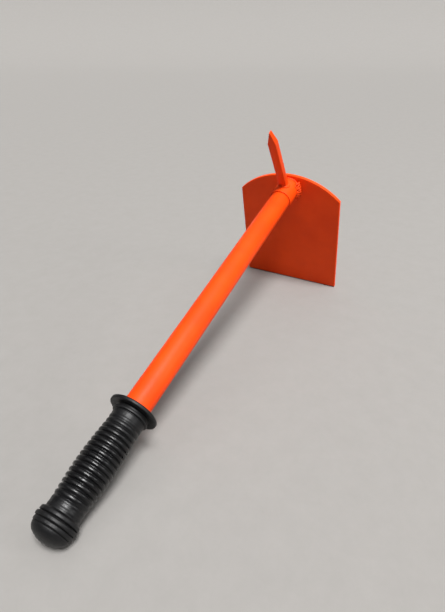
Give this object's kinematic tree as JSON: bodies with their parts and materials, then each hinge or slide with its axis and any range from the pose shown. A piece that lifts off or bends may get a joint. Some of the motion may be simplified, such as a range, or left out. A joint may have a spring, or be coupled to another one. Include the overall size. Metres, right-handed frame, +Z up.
{
  "type": "hand hoe with pick",
  "caption": "Short-handled digging hoe: wide arched plate blade and a pick spike welded to a sleeve on a straight steel tube, with a ribbed rubber grip and hand-stop flange.",
  "frame": {"origin": "on the floor, under the middle of the tool's length, with the tool lying as it rests on its cutting edge and the butt of its grip", "axes": "+X level with the floor from the blade towards the butt of the grip, +Y across the tool, +Z up"},
  "size_m": [0.4982, 0.137, 0.2307],
  "materials": {
    "orange_paint": "satin powder coat over steel",
    "painted_weld": "satin powder coat over rough weld",
    "black_rubber": "matt moulded rubber"
  },
  "bodies": {
    "root": {"handle_tube": "orange_paint", "collar": "orange_paint", "blade": "orange_paint", "pick": "orange_paint", "collar_weld": "painted_weld", "pick_weld": "painted_weld", "grip": "black_rubber"}
  },
  "joints": []
}
